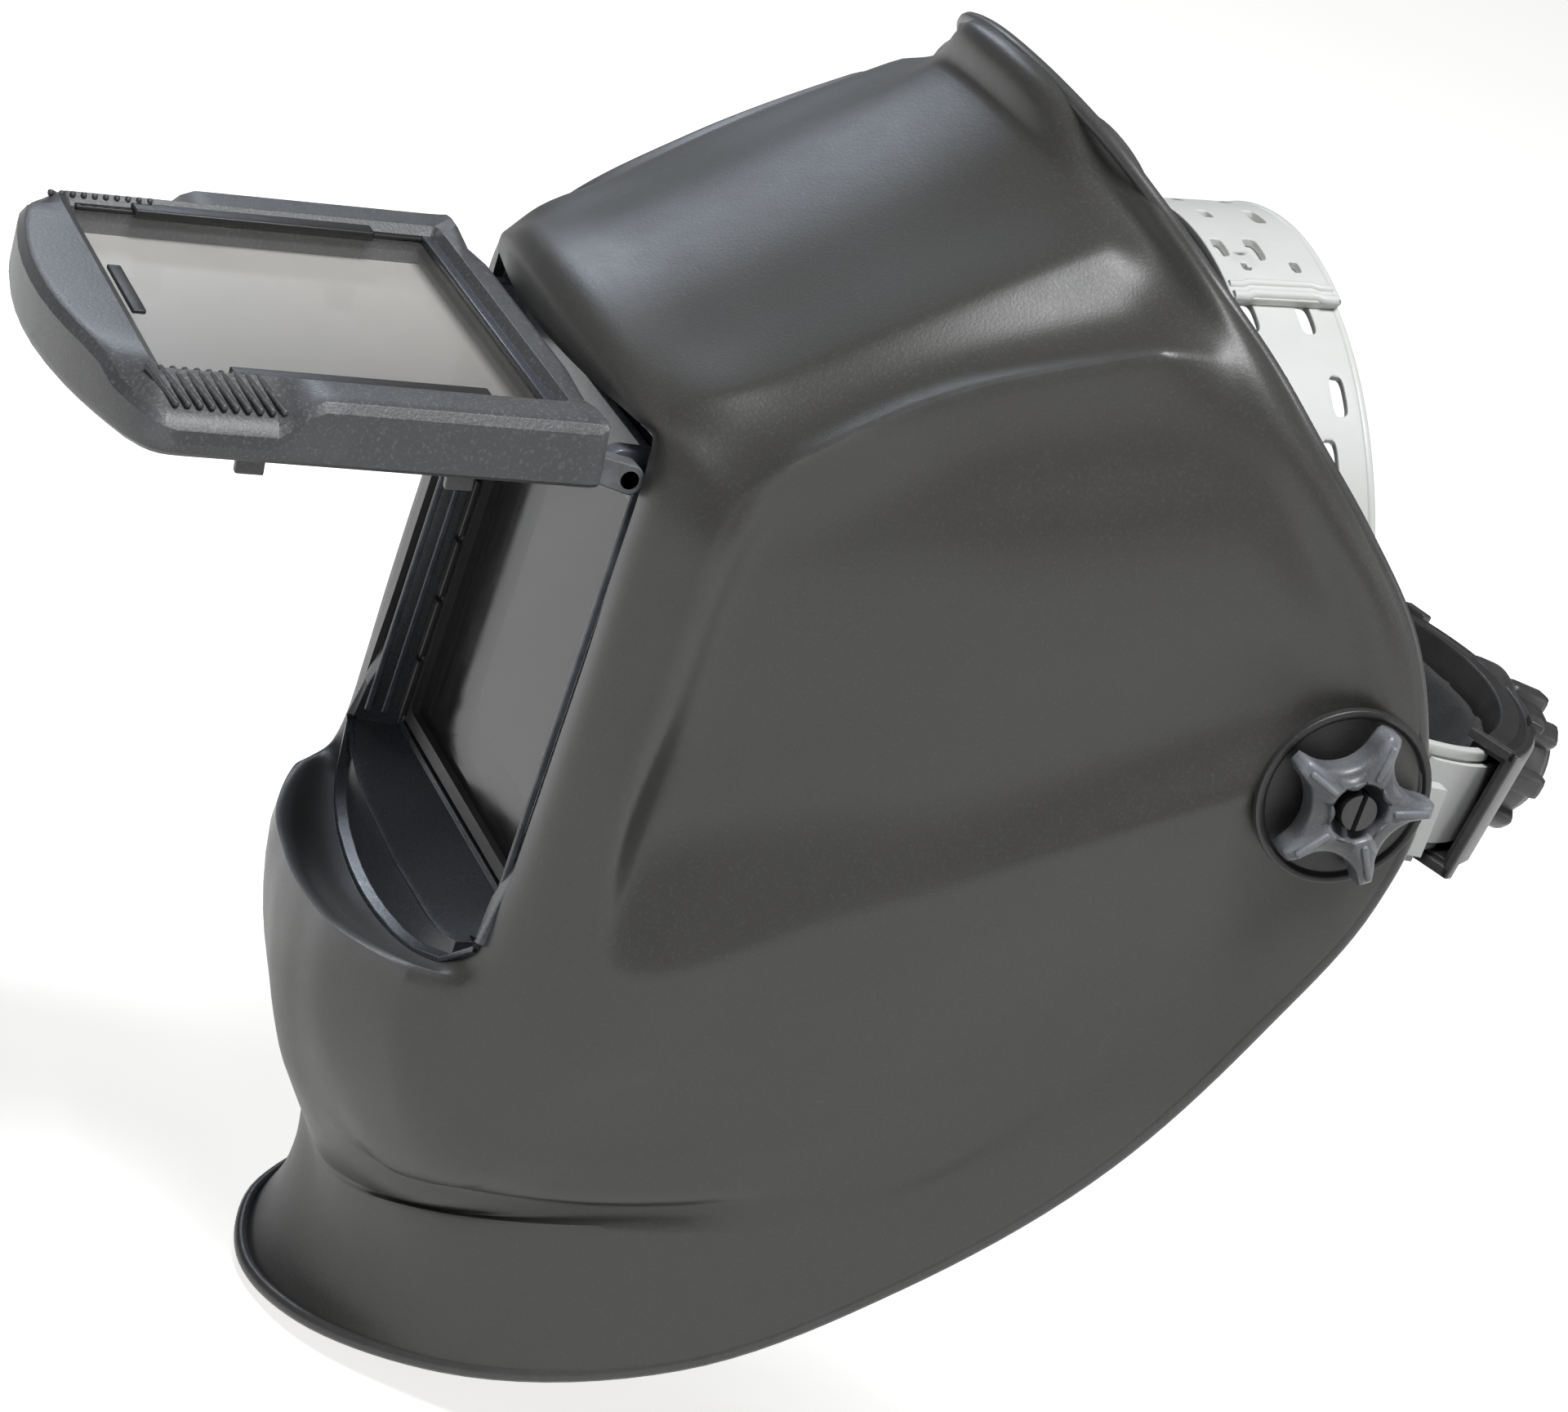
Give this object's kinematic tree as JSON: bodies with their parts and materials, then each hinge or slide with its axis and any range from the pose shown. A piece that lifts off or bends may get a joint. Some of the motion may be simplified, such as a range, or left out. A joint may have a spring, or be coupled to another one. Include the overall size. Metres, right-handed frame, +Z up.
{
  "type": "flip-front welding helmet",
  "caption": "Flip-front welding helmet: sculpted shell with a lift-up lens frame over a clear window, star-knob tilt pivots and ratchet headgear.",
  "frame": {"origin": "middle of the tilt axis through the two side knobs", "axes": "+X to the wearer's left, -Y forward, +Z up as worn"},
  "size_m": [0.2548, 0.3865, 0.3207],
  "materials": {
    "graphite_nylon": "fine matte grain",
    "black_nylon": "matte",
    "insert_plastic": "satin",
    "clear_plate": "clear, glossy",
    "filter_glass": "tinted, glossy",
    "white_plastic": "satin, light grey",
    "foam": "napped cover on foam",
    "seal_rubber": "matte",
    "zinc_steel": "plated"
  },
  "bodies": {
    "headgear": {"headband": "white_plastic", "sweatband": "foam", "arm_screws": "zinc_steel", "crown_strap_left": "white_plastic", "crown_strap_right": "white_plastic", "ratchet_housing": "black_nylon", "rear_pad": "foam", "pivot_arm_left": "white_plastic", "pivot_arm_right": "white_plastic", "pivot_stud_left": "zinc_steel", "pivot_stud_right": "zinc_steel"},
    "shell": {"helmet_shell": "graphite_nylon", "window_frame": "insert_plastic", "clear_window_plate": "clear_plate", "plate_seal": "seal_rubber", "window_retainer": "zinc_steel", "pivot_dish_left": "black_nylon", "pivot_dish_right": "black_nylon", "friction_washer_left": "seal_rubber", "friction_washer_right": "seal_rubber"},
    "flip_front": {"flip_frame": "graphite_nylon", "hinge_pins": "zinc_steel", "lens_retainer": "zinc_steel", "filter_plate": "filter_glass", "lens_gasket": "seal_rubber", "cover_plate": "clear_plate"},
    "knob_left": {"star_knob_left": "graphite_nylon"},
    "knob_right": {"star_knob_right": "graphite_nylon"},
    "ratchet": {"ratchet_knob": "black_nylon", "ratchet_pinion": "black_nylon"},
    "tail_left": {"rack_left": "white_plastic"},
    "tail_right": {"rack_right": "white_plastic"}
  },
  "joints": [
    {"name": "shell_tilt", "type": "hinge", "parent": "headgear", "child": "shell", "pos_m": [0, 0, 0], "axis": [-1, 0, 0], "range_deg": [0, 70]},
    {"name": "flip", "type": "hinge", "parent": "shell", "child": "flip_front", "pos_m": [0, -0.15, 0.016], "axis": [1, 0, 0], "range_deg": [0, 82]},
    {"name": "knob_left_turn", "type": "hinge", "parent": "headgear", "child": "knob_left", "pos_m": [0.123, 0, 0], "axis": [1, 0, 0], "range_deg": [0, 180]},
    {"name": "knob_right_turn", "type": "hinge", "parent": "headgear", "child": "knob_right", "pos_m": [-0.123, 0, 0], "axis": [-1, 0, 0], "range_deg": [0, 180]},
    {"name": "ratchet_turn", "type": "hinge", "parent": "headgear", "child": "ratchet", "pos_m": [0, 0.02021, -0.00942], "axis": [0, 0.986, -0.1668], "range_deg": [0, 100]},
    {"name": "tail_left_slide", "type": "hinge", "parent": "headgear", "child": "tail_left", "pos_m": [0, 0.02021, -0.00942], "axis": [0, 0.1668, 0.986], "range_deg": [-0.5, 6]},
    {"name": "tail_right_slide", "type": "hinge", "parent": "headgear", "child": "tail_right", "pos_m": [0, 0.02021, -0.00942], "axis": [0, 0.1668, 0.986], "range_deg": [-6, 0.5]}
  ],
  "couplings": [
    {"joint": "tail_left_slide", "follows": "ratchet_turn", "ratio": 0.05325},
    {"joint": "tail_right_slide", "follows": "ratchet_turn", "ratio": -0.05325}
  ]
}
